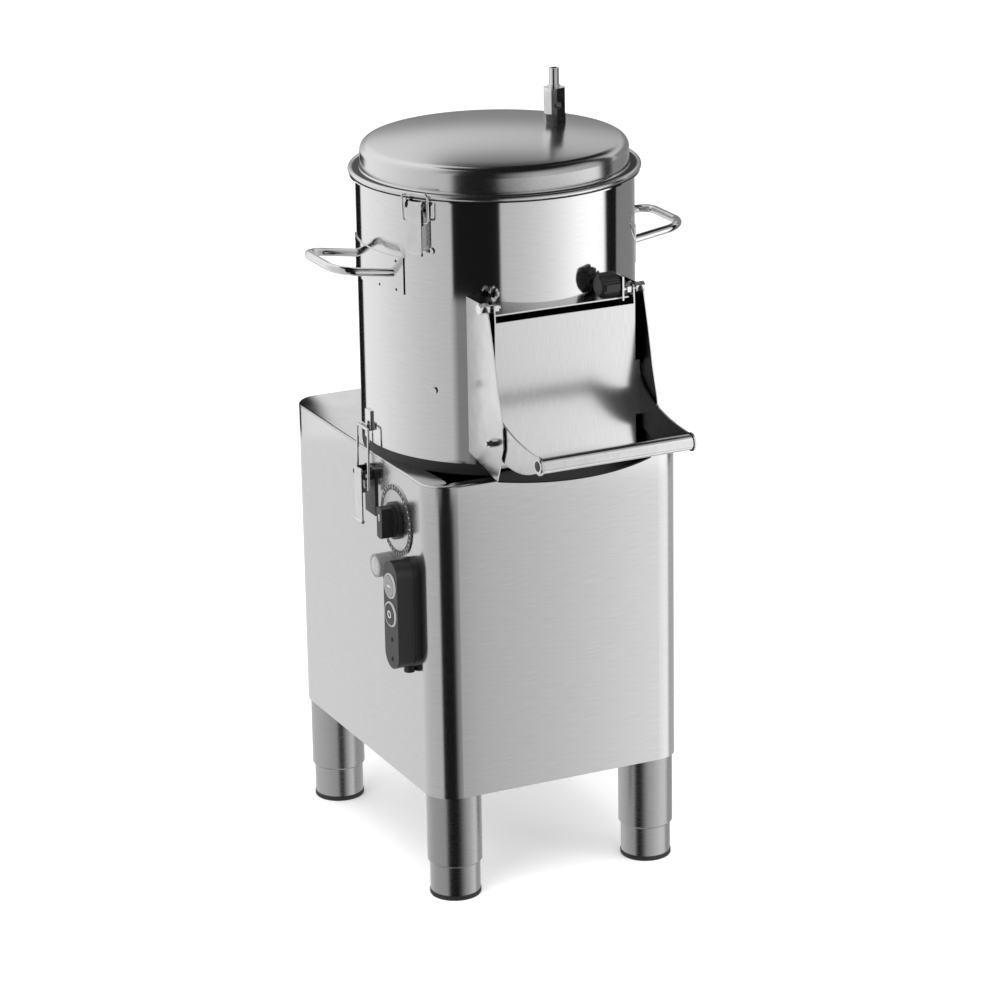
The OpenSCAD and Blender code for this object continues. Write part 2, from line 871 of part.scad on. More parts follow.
// The disc's working face, with three rounded waves that lift and turn the load
module abrasive_surface() {
    surface_low = disc_low + disc_t;
    color("darkslategray") difference() {
        union() {
            translate([0, 0, surface_low]) cylinder(r = disc_r, h = disc_t);
            for (turn = [90, 210, 330]) rotate([0, 0, turn]) intersection() {
                translate([wave_in, -wave_r, disc_top - wave_sink])
                    cube([wave_out - wave_in, 2 * wave_r, wave_sink + wave_h]);
                translate([wave_in, 0, disc_top + wave_h - wave_r]) rotate([0, 90, 0])
                    cylinder(r = wave_r, h = wave_out - wave_in);
            }
        }
        translate([0, 0, surface_low - over]) cylinder(r = shaft_r, h = disc_t + 2 * over);
        translate([0, 0, disc_top]) cylinder(r = cap_r + side_gap, h = wave_h + over);
    }
}

// Drum

module drum_shell() {
    mid_wall = drum_inner + drum_t / 2;
    color("gainsboro") difference() {
        union() {
            tube(drum_r, drum_inner, drum_low, drum_h);
            tube(mid_wall, drum_r - drum_foot_w, drum_low, drum_foot_t);
            tube(drum_flange_r, mid_wall, drum_top - drum_flange_t, drum_flange_t);
        }
        translate([-mouth_w / 2, -drum_r - over, mouth_low]) cube([mouth_w, drum_r / 2, mouth_h]);
        liner_screw_holes();
    }
}

module liner_screw_places() {
    for (angle = liner_angles, z = liner_screw_z)
        on_drum(angle, z) rotate([0, 90, 0]) children();
}

module liner_screw_holes() {
    liner_screw_places() translate([0, 0, -drum_t - liner_t - over])
        cylinder(r = screw_hole_r, h = drum_t + liner_t + 2 * over);
}

module abrasive_liners() {
    color("slategray") difference() {
        for (angle = liner_angles)
            arc_band(drum_inner, drum_inner - liner_t, angle, liner_half_angle, liner_low,
                liner_top - liner_low);
        liner_screw_holes();
    }
}

module drum_screws() {
    color("silver") {
        liner_screw_places() {
            cylinder(r = screw_head_r, h = screw_head_h);
            translate([0, 0, -drum_t - liner_t]) cylinder(r = screw_hole_r, h = drum_t + liner_t);
        }
        for (side = [0, 1]) mirror([side, 0, 0]) {
            door_pivot_bolt();
            chute_stud();
        }
    }
}

// The bolt that the door swings on, at the right-hand cheek
module door_pivot_bolt() {
    outer = cheek_x + sheet_t;
    tail = bolt_inner_x - bolt_tail;
    rod_x(bolt_r, tail, outer - tail, -pivot_reach, pivot_z);
    rod_x(bolt_head_r, outer, bolt_head_h, -pivot_reach, pivot_z, 6);
    for (x = [bolt_inner_x, cheek_x - bolt_nut_h])
        rod_x(bolt_head_r, x, bolt_nut_h, -pivot_reach, pivot_z, 6);
}

// The stud with its nut and washer, low on the right-hand cheek
module chute_stud() {
    outer = cheek_x + sheet_t;
    rod_x(stud_r, cheek_x, stud_len, -stud_reach, stud_z);
    rod_x(stud_nut_r, outer, stud_nut_h, -stud_reach, stud_z, 6);
    rod_x(stud_washer_r, outer + stud_nut_h, stud_nut_h, -stud_reach, stud_z);
}

module side_keepers() {
    color("silver") for (side = [-1, 1]) difference() {
        translate([side * drum_r, side_latch_y, keeper_low]) rotate([0, 0, side > 0 ? 0 : 180]) {
            translate([-over, -keeper_w / 2, 0]) cube([keeper_t + over, keeper_w, keeper_h]);
            translate([0, -keeper_w / 2, 0]) cube([keeper_nose, keeper_w, keeper_lip_t]);
            translate([keeper_nose - keeper_lip_t, -keeper_w / 2, 0])
                cube([keeper_lip_t, keeper_w, keeper_lip_h]);
        }
        translate([0, 0, keeper_low - over]) cylinder(r = drum_r, h = keeper_h + 2 * over);
    }
}

module handle_plates() {
    color("gainsboro") for (middle = [0, 180])
        arc_band(plate_r, drum_r, middle, plate_half_angle, plate_low, plate_h);
}

// The right-hand handle: a bent rod whose ends stand on its plate
module handle_rod() {
    root_x = drum_r - root_depth;
    reach = grip_reach + root_depth;
    tilt = asin(grip_rise / reach);
    arm = reach - grip_elbow;
    span = grip_half - grip_elbow;
    color("gainsboro") difference() {
        translate([root_x, 0, root_z]) rotate([0, -tilt, 0]) {
            for (side = [-1, 1]) {
                translate([0, side * grip_half, 0]) rotate([0, 90, 0]) cylinder(r = rod_r, h = arm);
                translate([arm, side * span, 0]) rotate([0, 0, side > 0 ? 0 : -90])
                    rotate_extrude(angle = 90) translate([grip_elbow, 0]) circle(rod_r);
            }
            translate([reach, -span, 0]) rotate([-90, 0, 0]) cylinder(r = rod_r, h = 2 * span);
        }
        translate([0, 0, plate_low]) cylinder(r = plate_r, h = plate_h);
    }
}

module handle_right() {
    handle_rod();
}

module handle_left() {
    mirror([1, 0, 0]) handle_rod();
}

// Chute

// The drum's outer face as a solid, to cut what stands against it
module drum_core(low, high) {
    translate([0, 0, low - over]) cylinder(r = drum_r, h = high - low + 2 * over);
}

// The right-hand cheek's outline in Y and Z
module cheek_outline() {
    polygon(concat(
        [[cheek_back - drum_r, cheek_low + floor_rise], [cheek_back - drum_r, cheek_top]],
        [for (share = cheek_shares) [
            -drum_r - share[0] * (cheek_reach - drum_r), cheek_low + share[1] * (cheek_top - cheek_low)
        ]],
        [[-floor_front, cheek_low]]
    ));
}

module outlet_cheek() {
    color("gainsboro") difference() {
        sheet_x(cheek_x, sheet_t) cheek_outline();
        drum_core(cheek_low, cheek_top);
        rod_x(bolt_r, cheek_x - over, sheet_t + 2 * over, -pivot_reach, pivot_z);
        rod_x(stud_r, cheek_x - over, sheet_t + 2 * over, -stud_reach, stud_z);
    }
}

module outlet_cheek_right() {
    outlet_cheek();
}

module outlet_cheek_left() {
    mirror([1, 0, 0]) outlet_cheek();
}

module outlet_top_plate() {
    neck_x = cheek_x - roof_inset;
    color("gray") difference() {
        union() {
            translate([-cheek_x, -roof_shoulder, roof_low])
                cube([chute_w, roof_shoulder - floor_back, sheet_t]);
            translate([-neck_x, -roof_front, roof_low])
                cube([2 * neck_x, roof_front - floor_back, sheet_t]);
            translate([lug_x, -lug_front, roof_low]) cube([lug_t, lug_front - lug_back, lug_h]);
        }
        drum_core(roof_low, roof_low + lug_h);
        rod_x(clamp_stem_r + running, lug_x - over, lug_t + 2 * over, -clamp_reach, clamp_z);
    }
}

module outlet_floor() {
    slab = 2 * cheek_x;
    color("gray") difference() {
        intersection() {
            translate([0, 0, cheek_low - floor_rise]) linear_extrude(3 * floor_rise) intersection() {
                translate([-cheek_x, -floor_front - floor_bow]) square([chute_w, drum_r]);
                translate([0, floor_arc_r - floor_front - floor_bow]) circle(floor_arc_r);
            }
            translate([-cheek_x, -floor_front, cheek_low]) rotate([floor_slope, 0, 0])
                translate([0, -slab / 2, -sheet_t]) cube([slab, slab, sheet_t]);
        }
        drum_core(cheek_low - floor_rise, cheek_low + 3 * floor_rise);
    }
}

// Door

// One arm of the door, in Y and Z: an ellipse above and a round belly below
module arm_outline() {
    steps = 12;
    crest_z = bar_z + bar_r;
    belly_start = asin((arm_root - arm_belly_reach) / arm_belly_r);
    belly_end = asin((bar_reach - arm_belly_reach) / arm_belly_r);
    polygon(concat(
        [for (i = [0 : steps]) let (turn = 90 * i / steps)
            [arm_crest * sin(turn) - bar_reach, crest_z + arm_rise * (1 - cos(turn))]],
        [for (i = [0 : steps]) let (turn = belly_start + (belly_end - belly_start) * i / steps)
            [-arm_belly_reach - arm_belly_r * sin(turn), arm_belly_z - arm_belly_r * cos(turn)]]
    ));
}

// The flange down the door's right-hand edge, with the ear that the door hangs by
module door_flange_outline() {
    translate([-door_reach, door_flange_low]) square([door_flange, door_top - door_flange_low]);
    polygon([
        [-door_reach, door_top - over], [-pivot_reach - door_ear_r, pivot_z],
        [-pivot_reach + door_ear_r, pivot_z], [door_flange - door_reach, door_top - over]
    ]);
    translate([-pivot_reach, pivot_z]) circle(door_ear_r);
}

module door_panel() {
    flange_x = door_x - sheet_t;
    color("lightgray") {
        translate([-door_x, -door_reach, door_low]) cube([door_w, sheet_t, door_top - door_low]);
        for (side = [0, 1]) mirror([side, 0, 0]) {
            difference() {
                sheet_x(flange_x, sheet_t) door_flange_outline();
                rod_x(bolt_r + running, flange_x - over, sheet_t + 2 * over, -pivot_reach, pivot_z);
            }
            difference() {
                sheet_x(arm_x, arm_t) {
                    arm_outline();
                    translate([-bar_reach, bar_z]) circle(bar_r + arm_eye_w);
                }
                rod_x(bar_r, arm_x - over, arm_t + 2 * over, -bar_reach, bar_z);
            }
            translate([door_x, -door_reach, tie_low]) cube([arm_x - door_x, door_flange, tie_h]);
        }
    }
}

module door_bar() {
    color("gainsboro") rod_x(bar_r, -bar_half, 2 * bar_half, -bar_reach, bar_z);
}

// The hand knob that clamps the door: its stem turns in the lug on the top plate
module door_clamp_knob() {
    stem_x = clamp_x + clamp_len;
    color("black") {
        difference() {
            translate([clamp_x, -clamp_reach, clamp_z]) rotate([0, 90, 0]) {
                cylinder(r1 = clamp_r - clamp_bevel, r2 = clamp_r, h = clamp_bevel);
                translate([0, 0, clamp_bevel]) cylinder(r = clamp_r, h = clamp_len - clamp_bevel);
            }
            for (i = [0 : clamp_lobes - 1]) let (turn = (i + 0.5) * 360 / clamp_lobes)
                rod_x(clamp_lobe_r, clamp_x - over, clamp_len + 2 * over,
                    clamp_r * cos(turn) - clamp_reach, clamp_z + clamp_r * sin(turn));
        }
        rod_x(clamp_stem_r, stem_x, bolt_inner_x - side_gap - stem_x, -clamp_reach, clamp_z);
    }
}

// Lid

// Points of the dome from its wall over its shoulder to its crown, this far inside its outer face
function dome_points(inset) = [
    for (i = [0 : shoulder_steps]) let (turn = (90 - crown_slope) * i / shoulder_steps)
        [dome_r - shoulder_r + (shoulder_r - inset) * cos(turn),
            dome_low + (shoulder_r - inset) * sin(turn)],
    for (i = [crown_steps - 1 : -1 : 0]) let (turn = crown_slope * i / crown_steps)
        [(crown_r - inset) * sin(turn), crown_z + (crown_r - inset) * cos(turn)]
];
function reversed(list) = [for (i = [len(list) - 1 : -1 : 0]) list[i]];

module lid_shell() {
    lip_inner = rim_r - rim_lip_t;
    color("silver") difference() {
        rotate_extrude() polygon(concat(
            [[lip_inner, rim_low], [rim_r, rim_low], [rim_r, rim_top - rim_round]],
            [[rim_r - rim_round, rim_top], [dome_r, rim_top]],
            dome_points(0),
            reversed(dome_points(lid_t)),
            [[dome_r - lid_t, rim_top - lid_t], [lip_inner, rim_top - lid_t]]
        ));
        inlet_nut();
    }
}

module lid_gasket() {
    outer = drum_flange_r - gasket_inset;
    color("dimgray") tube(outer, outer - gasket_w, gasket_low, rim_top - lid_t - gasket_low);
}

module lid_hinge_base() {
    plate_top = drum_top - hinge_plate_drop;
    ear_y = hinge_half + side_gap;
    color("silver") on_drum(hinge_angle, 0) difference() {
        union() {
            translate([-over, -hinge_plate_half, plate_top - hinge_plate_h])
                cube([over + hinge_plate_t, 2 * hinge_plate_half, hinge_plate_h]);
            for (y = [-ear_y, ear_y + hinge_ear_t])
                translate([0, y, 0]) rotate([90, 0, 0]) linear_extrude(hinge_ear_t) {
                    polygon([
                        [0, plate_top - hinge_plate_h], [0, plate_top],
                        [hinge_out - hinge_ear_r, hinge_z], [hinge_out + hinge_ear_r, hinge_z],
                        [hinge_out, hinge_z - hinge_ear_h]
                    ]);
                    translate([hinge_out, hinge_z]) circle(hinge_ear_r);
                }
        }
        translate([hinge_out, hinge_plate_half, hinge_z]) rotate([90, 0, 0])
            cylinder(r = hinge_pin_r + running, h = 2 * hinge_plate_half);
        translate([-drum_r, 0, 0]) drum_core(drum_low, drum_top);
    }
}

module lid_hinge_strap() {
    pin_half = hinge_half + side_gap + 2 * hinge_ear_t;
    color("silver") on_drum(hinge_angle, 0) {
        difference() {
            translate([0, -hinge_half, rim_top]) cube([hinge_out, 2 * hinge_half, hinge_strap_t]);
            translate([-drum_r, 0, rim_top - over]) cylinder(r = dome_r, h = hinge_strap_t + 2 * over);
        }
        translate([hinge_out, hinge_half, hinge_z]) rotate([90, 0, 0])
            cylinder(r = hinge_knuckle_r, h = 2 * hinge_half);
        translate([hinge_out, pin_half, hinge_z]) rotate([90, 0, 0])
            cylinder(r = hinge_pin_r, h = 2 * pin_half);
    }
}

// The nut that is let into the lid under the inlet's block
module inlet_nut() {
    translate([inlet_x, inlet_y, inlet_seat_z - inlet_sink]) rotate([0, 0, inlet_turn])
        cylinder(r = inlet_nut_r, h = inlet_nut_h + inlet_sink, $fn = 6);
}

module inlet_block() {
    half = inlet_block_w / 2;
    corner = inlet_block_w * sqrt(2) - 2 * inlet_chamfer;
    color("silver") difference() {
        union() {
            inlet_nut();
            translate([inlet_x, inlet_y, inlet_block_z]) rotate([0, 0, inlet_turn])
                linear_extrude(inlet_block_h) intersection() {
                    square(inlet_block_w, center = true);
                    rotate([0, 0, 45]) square(corner, center = true);
                }
        }
        translate([inlet_x, inlet_y, inlet_seat_z - inlet_sink - over])
            cylinder(r = inlet_bore_r, h = inlet_sink + inlet_nut_h + inlet_block_h + 2 * over);
        translate([inlet_x, inlet_y, inlet_block_z + inlet_block_h / 3]) rotate([0, 0, inlet_turn])
            translate([-inlet_port_shift, inlet_port_depth - half, 0]) rotate([90, 0, 0])
                cylinder(r = inlet_port_r, h = inlet_port_depth + over);
    }
}

module inlet_spigot() {
    color("silver") translate([inlet_x, inlet_y, inlet_collar_z]) difference() {
        union() {
            cylinder(r = inlet_collar_r, h = inlet_collar_h);
            cylinder(r = inlet_spigot_r, h = inlet_collar_h + inlet_spigot_h);
        }
        translate([0, 0, -over]) cylinder(r = inlet_bore_r, h = inlet_collar_h + inlet_spigot_h + 2 * over);
    }
}

// Toggle latches

// The fixed base of a toggle latch: a plate on the wall and two ears for the lever's pin
module latch_base(ear, ear_r, pin_out, pin_r, low, high) {
    difference() {
        union() {
            translate([0, -ear - latch_plate_w, low])
                cube([latch_plate_t, 2 * (ear + latch_plate_w), high - low]);
            for (y = [-ear, ear - ear_t]) translate([0, y, 0]) {
                translate([0, 0, -ear_r]) cube([pin_out, ear_t, ear_r + min(ear_r, high)]);
                translate([pin_out, ear_t, 0]) rotate([90, 0, 0]) cylinder(r = ear_r, h = ear_t);
            }
        }
        translate([pin_out, ear + over, 0]) rotate([90, 0, 0])
            cylinder(r = pin_r + running, h = 2 * (ear + over));
    }
}

// The lever of a toggle latch, with its pin and the holes that hold the bail's feet
module latch_lever(ear, pin_out, pin_r, lever_out, low, high, foot_out, foot_low, wire_r) {
    half = ear - ear_t - side_gap;
    cheek_in = pin_out - lever_cheek_w;
    cheek_low = foot_low - lever_cheek_w;
    difference() {
        union() {
            translate([lever_out - lever_t, -half, low]) cube([lever_t, 2 * half, high - low]);
            for (y = [-half, half - ear_t]) translate([cheek_in, y, cheek_low])
                cube([lever_out - cheek_in, ear_t, min(high, lever_cheek_w) - cheek_low]);
            translate([lever_out - lever_t / 2, half, low]) rotate([90, 0, 0])
                cylinder(r = lever_curl_r, h = 2 * half);
            translate([pin_out, ear + lever_pin_out, 0]) rotate([90, 0, 0])
                cylinder(r = pin_r, h = 2 * (ear + lever_pin_out));
        }
        translate([foot_out, half + over, foot_low]) rotate([90, 0, 0])
            cylinder(r = wire_r + running, h = 2 * (half + over));
    }
}

// A wire bail: two feet in the lever, two legs and the bar across their top, with bent corners
module latch_bail(ear, leg_y, foot_out, foot_z, bar_out, bar_up, wire_r) {
    foot_in = ear - 2 * ear_t - side_gap - bail_foot_in;
    bend = bail_bend_share * wire_r;
    rise = norm([bar_out - foot_out, bar_up - foot_z]);
    lean = atan2(bar_out - foot_out, bar_up - foot_z);
    translate([foot_out, 0, foot_z]) rotate([0, lean, 0]) {
        for (side = [0, 1]) mirror([0, side, 0]) {
            translate([0, leg_y, bend]) cylinder(r = wire_r, h = rise - 2 * bend);
            translate([0, leg_y - bend, bend]) rotate([90, 0, 90]) rotate([0, 0, -90])
                rotate_extrude(angle = 90) translate([bend, 0]) circle(wire_r);
            translate([0, leg_y - bend, rise - bend]) rotate([90, 0, 90])
                rotate_extrude(angle = 90) translate([bend, 0]) circle(wire_r);
            translate([0, leg_y - bend, 0]) rotate([90, 0, 0])
                cylinder(r = wire_r, h = leg_y - bend - foot_in);
        }
        translate([0, leg_y - bend, rise]) rotate([90, 0, 0])
            cylinder(r = wire_r, h = 2 * (leg_y - bend));
    }
}

module lid_latch_base() {
    color("silver") difference() {
        on_drum(latch_angle, lid_pin_z)
            latch_base(lid_ear, lid_ear_r, lid_pin_out, lid_pin_r, lid_plate_low, lid_plate_high);
        drum_core(drum_low, drum_top);
    }
}

module lid_latch_lever() {
    color("silver") on_drum(latch_angle, lid_pin_z)
        latch_lever(lid_ear, lid_pin_out, lid_pin_r, lid_lever_out, lid_lever_low, lid_lever_high,
            lid_foot_out, lid_foot_low, lid_wire_r);
}

module lid_latch_bail() {
    color("silver") on_drum(latch_angle, lid_pin_z)
        latch_bail(lid_ear, lid_leg_y, lid_foot_out, lid_foot_low, lid_bar_out, lid_bar_up, lid_wire_r);
}

module side_latch_bases() {
    color("dimgray") for (side = [-1, 1]) on_side(side)
        latch_base(side_ear, side_ear_r, side_pin_out, side_pin_r, side_plate_low, side_plate_high);
}

module side_latch_lever(side) {
    color("silver") on_side(side)
        latch_lever(side_ear, side_pin_out, side_pin_r, side_lever_out, side_lever_low, side_lever_high,
            side_foot_out, side_foot_low, side_wire_r);
}

module side_latch_bail(side) {
    color("silver") on_side(side)
        latch_bail(side_ear, side_leg_y, side_foot_out, side_foot_low, side_bar_out, side_bar_up,
            side_wire_r);
}

// Controls, on the left face: all of them stand out towards -X

module timer_dial() {
    color("silver") difference() {
        rod_x(dial_d / 2, -side_x - dial_t, dial_t, dial_y, dial_z);
        rod_x(dial_hole_r, -side_x - dial_t - over, dial_t + 2 * over, dial_y, dial_z);
    }
}

module timer_knob() {
    knob_r = knob_d / 2;
    face = -side_x - dial_t - knob_gap;
    skirt_face = face - knob_skirt_h;
    grip_face = skirt_face - knob_grip_h;
    color("black") {
        rod_x(knob_r, skirt_face, knob_skirt_h, dial_y, dial_z);
        rod_x(knob_r - knob_step_inset, skirt_face - knob_step_h, knob_step_h + knob_skirt_h, dial_y,
            dial_z);
        intersection() {
            rod_x(knob_r - knob_grip_inset, grip_face, knob_grip_h, dial_y, dial_z);
            translate([grip_face, dial_y - knob_grip_w / 2, dial_z - knob_r])
                cube([knob_grip_h, knob_grip_w, knob_d]);
        }
        rod_x(spindle_r, skirt_face, spindle_in - side_x - skirt_face, dial_y, dial_z);
    }
}

module timer_body() {
    color("ivory") difference() {
        translate([-side_x + sheet_t, dial_y - timer_w / 2, dial_z - timer_w / 2])
            cube([timer_depth, timer_w, timer_w]);
        rod_x(spindle_r + running, -side_x, spindle_in + over, dial_y, dial_z);
    }
}

module pilot_lamp() {
    color("whitesmoke") {
        rod_x(lamp_r, -side_x - lamp_out, lamp_out, lamp_y, lamp_z);
        rod_x(lamp_barrel_r, -side_x, lamp_in, lamp_y, lamp_z);
    }
}

// An outline with round ends, in Y and Z, centred on the button box
module box_outline(inset) {
    r = box_w / 2 - inset;
    straight = box_h - box_w;
    translate([box_y, box_z]) {
        square([2 * r, straight], center = true);
        for (v = [-1, 1]) translate([0, v * straight / 2]) circle(r);
    }
}

// The cable's way into the box, standing under it
module box_gland() {
    translate([-side_x - box_gland_r, box_y, box_z - box_h / 2 - box_gland_h])
        cylinder(r = box_gland_r, h = 2 * box_gland_h);
}

module button_box_base() {
    color("black") {
        sheet_x(-side_x - box_base_t, box_base_t) box_outline(0);
        box_gland();
    }
}

module button_box_cover() {
    face = -side_x - box_depth;
    color("black") difference() {
        sheet_x(face, box_depth - box_base_t) box_outline(box_step);
        sheet_x(face + box_wall, box_depth - box_base_t) box_outline(box_step + box_wall);
        for (z = button_z) rod_x(button_r + button_gap, face - over, box_wall + 2 * over, box_y, z);
        box_gland();
    }
}

module button(z) {
    face = -side_x - box_depth - button_out;
    rod_x(button_r, face, button_cap_h, box_y, z);
    rod_x(button_stem_r, face, button_len, box_y, z);
}

module start_button() {
    color("whitesmoke") button(button_z[0]);
}

module stop_button() {
    color("dimgray") button(button_z[1]);
}

cabinet_shell();
top_plate();
base_plate();
rear_panel();
rear_panel_screws();
leg_sleeves();
seat_ring();
sump_pan();
drain_pipe();
bearing_housing();
spindle_bearings();
motor_bracket();
motor_body();
drive_belt();
timer_dial();
timer_body();
pilot_lamp();
button_box_base();
button_box_cover();
side_latch_bases();
cable_gland();
adjustable_foot(-leg_x, leg_front);  // adjustable_foot_front_left
adjustable_foot(leg_x, leg_front);  // adjustable_foot_front_right
adjustable_foot(-leg_x, leg_back);  // adjustable_foot_rear_left
adjustable_foot(leg_x, leg_back);  // adjustable_foot_rear_right
drum_shell();
abrasive_liners();
drum_screws();
side_keepers();
handle_plates();
handle_left();
handle_right();
outlet_cheek_left();
outlet_cheek_right();
outlet_top_plate();
outlet_floor();
lid_latch_base();
lid_hinge_base();
door_panel();
door_bar();
door_clamp_knob();
lid_shell();
lid_gasket();
lid_hinge_strap();
inlet_block();
inlet_spigot();
lid_latch_lever();
lid_latch_bail();
side_latch_lever(-1);  // side_latch_lever_left
side_latch_lever(1);  // side_latch_lever_right
side_latch_bail(-1);  // side_latch_bail_left
side_latch_bail(1);  // side_latch_bail_right
timer_knob();
start_button();
stop_button();
drive_shaft();
driven_pulley();
disc_carrier();
abrasive_surface();
motor_pulley();
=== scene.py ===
# %% [markdown]
# # A potato peeler in stainless steel
# A peeling machine stands on four legs. A steel cabinet holds the motor, and a
# polished drum stands on it with a lid on top and a chute in front. The solids
# come ready from the CAD part. This lesson gives them their finishes and adds
# the small things that the eye misses when they aren't there.

# %% Load the part
import math
import bmesh
import bpy
from mathutils import Matrix, Vector


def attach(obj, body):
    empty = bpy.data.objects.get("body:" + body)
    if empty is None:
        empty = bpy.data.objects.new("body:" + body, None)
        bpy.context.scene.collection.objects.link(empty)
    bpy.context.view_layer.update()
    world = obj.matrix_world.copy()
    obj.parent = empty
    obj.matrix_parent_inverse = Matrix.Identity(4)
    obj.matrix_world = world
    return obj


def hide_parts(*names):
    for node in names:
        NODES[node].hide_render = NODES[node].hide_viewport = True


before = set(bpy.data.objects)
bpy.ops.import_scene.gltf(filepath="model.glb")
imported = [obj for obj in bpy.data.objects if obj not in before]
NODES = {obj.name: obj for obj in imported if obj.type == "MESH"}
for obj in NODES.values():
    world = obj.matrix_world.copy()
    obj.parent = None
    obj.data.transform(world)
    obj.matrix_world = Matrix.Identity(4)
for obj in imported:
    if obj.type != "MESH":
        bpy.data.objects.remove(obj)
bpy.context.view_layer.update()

print("loaded", len(NODES), "nodes")

# %% [markdown]
# ## Finishes
# A finish is a small graph of nodes. A noise that is stretched far along one
# direction looks like the lines that a belt sander leaves. The same noise moves
# the roughness and, very slightly, the surface itself.

# %% A blank finish
FINISHES = {}


def blank(name, colour, metallic, roughness, **sockets):
    material = bpy.data.materials.new(name)
    material.use_nodes = True
    nodes, links = material.node_tree.nodes, material.node_tree.links
    shader = nodes["Principled BSDF"]
    shader.inputs["Base Color"].default_value = (*colour, 1)
    shader.inputs["Metallic"].default_value = metallic
    shader.inputs["Roughness"].default_value = roughness
    for socket, value in sockets.items():
        shader.inputs[socket.replace("_", " ")].default_value = value
    FINISHES[name] = material
    return nodes, links, shader


def stretched_noise(nodes, links, scale, stretch, detail=4):
    place = nodes.new("ShaderNodeTexCoord")
    mapping = nodes.new("ShaderNodeMapping")
    noise = nodes.new("ShaderNodeTexNoise")
    mapping.inputs["Scale"].default_value = stretch
    noise.inputs["Scale"].default_value = scale
    noise.inputs["Detail"].default_value = detail
    links.new(place.outputs["Object"], mapping.inputs["Vector"])
    links.new(mapping.outputs["Vector"], noise.inputs["Vector"])
    return noise.outputs["Fac"]


def spread(nodes, links, value, low, high):
    ramp = nodes.new("ShaderNodeMapRange")
    ramp.inputs["From Min"].default_value = 0.3
    ramp.inputs["From Max"].default_value = 0.7
    ramp.inputs["To Min"].default_value = low
    ramp.inputs["To Max"].default_value = high
    links.new(value, ramp.inputs["Value"])
    return ramp.outputs["Result"]


def tint(nodes, links, shader, value, dark, light):
    mix = nodes.new("ShaderNodeValToRGB")
    mix.color_ramp.elements[0].color = (*dark, 1)
    mix.color_ramp.elements[1].color = (*light, 1)
    mix.color_ramp.elements[0].position = 0.3
    mix.color_ramp.elements[1].position = 0.7
    links.new(value, mix.inputs["Fac"])
    links.new(mix.outputs["Color"], shader.inputs["Base Color"])


def grain(nodes, links, shader, value, strength, distance=0.0002):
    bump = nodes.new("ShaderNodeBump")
    bump.inputs["Strength"].default_value = strength
    bump.inputs["Distance"].default_value = distance
    links.new(value, bump.inputs["Height"])
    links.new(bump.outputs["Normal"], shader.inputs["Normal"])


# %% Steel finishes
def steel(name, shade, roughness, swing, scale, stretch, strength):
    nodes, links, shader = blank(name, (shade, shade, shade), 1, roughness)
    lines = stretched_noise(nodes, links, scale, stretch)
    tint(nodes, links, shader, lines, (shade * 0.93,) * 3, (min(1, shade * 1.05),) * 3)
    links.new(spread(nodes, links, lines, roughness - swing, roughness + swing), shader.inputs["Roughness"])
    grain(nodes, links, shader, lines, strength)


steel("brushed_steel", 0.70, 0.19, 0.02, 1, (40, 40, 2600), 0.02)
steel("satin_steel", 0.72, 0.17, 0.015, 1, (60, 60, 1800), 0.004)
steel("spun_steel", 0.72, 0.20, 0.015, 900, (1, 1, 1), 0.003)
steel("sheet_steel", 0.72, 0.20, 0.02, 1, (1800, 60, 60), 0.02)
steel("mirror_steel", 0.74, 0.085, 0.004, 1, (60, 60, 3500), 0.0006)
steel("polished_steel", 0.78, 0.10, 0.03, 90, (1, 1, 1), 0.02)
# a darker, rougher copy of the steel for the legs: the darker tone is painted shade under the cabinet
steel("shaded_leg_steel", 0.46, 0.27, 0.03, 1, (60, 60, 3000), 0.01)
steel("dark_steel", 0.10, 0.42, 0.08, 140, (1, 1, 1), 0.30)
# near-black steel: painted shade and dark reflection for the chute's floor and the inner faces of its side plates
steel("painted_shade_sheet", 0.03, 0.38, 0.06, 400, (1, 1, 1), 0.15)
print("steel finishes:", len(FINISHES))


# %% Rubber, plastic and paint finishes
def moulded(name, shade, roughness, swing, scale, strength, **sockets):
    nodes, links, shader = blank(name, shade, 0, roughness, **sockets)
    pores = stretched_noise(nodes, links, scale, (1, 1, 1), 6)
    dark = tuple(part * 0.85 for part in shade)
    tint(nodes, links, shader, pores, dark, tuple(min(1, part * 1.12) for part in shade))
    links.new(spread(nodes, links, pores, roughness - swing, roughness + swing), shader.inputs["Roughness"])
    grain(nodes, links, shader, pores, strength)


moulded("black_rubber", (0.014, 0.014, 0.014), 0.55, 0.08, 900, 0.25)
moulded("grey_rubber", (0.12, 0.12, 0.12), 0.60, 0.08, 700, 0.25)
moulded("black_plastic", (0.010, 0.010, 0.011), 0.34, 0.06, 1400, 0.12)
moulded("grey_plastic", (0.012, 0.012, 0.013), 0.36, 0.05, 1400, 0.12)
moulded("white_plastic", (0.20, 0.20, 0.20), 0.30, 0.05, 600, 0.05)
moulded("cream_plastic", (0.60, 0.56, 0.46), 0.38, 0.06, 500, 0.06)
moulded("motor_paint", (0.16, 0.19, 0.21), 0.40, 0.08, 260, 0.20)
moulded("abrasive", (0.055, 0.060, 0.066), 0.75, 0.12, 420, 1.0)
moulded("dial_print", (0.045, 0.045, 0.047), 0.45, 0.05, 900, 0.04)
moulded("white_print", (0.72, 0.72, 0.70), 0.45, 0.05, 900, 0.03)
moulded("pale_plastic", (0.36, 0.36, 0.36), 0.35, 0.05, 900, 0.05)
moulded("lamp_lens", (0.34, 0.34, 0.335), 0.20, 0.04, 200, 0.03, Coat_Weight=0.5)
steel("dial_plate", 0.62, 0.26, 0.04, 300, (1, 1, 1), 0.03)
print("all finishes:", len(FINISHES))

# %% [markdown]
# ## Dress the solids
# Each solid of the CAD part keeps its shape and gets one of the finishes.

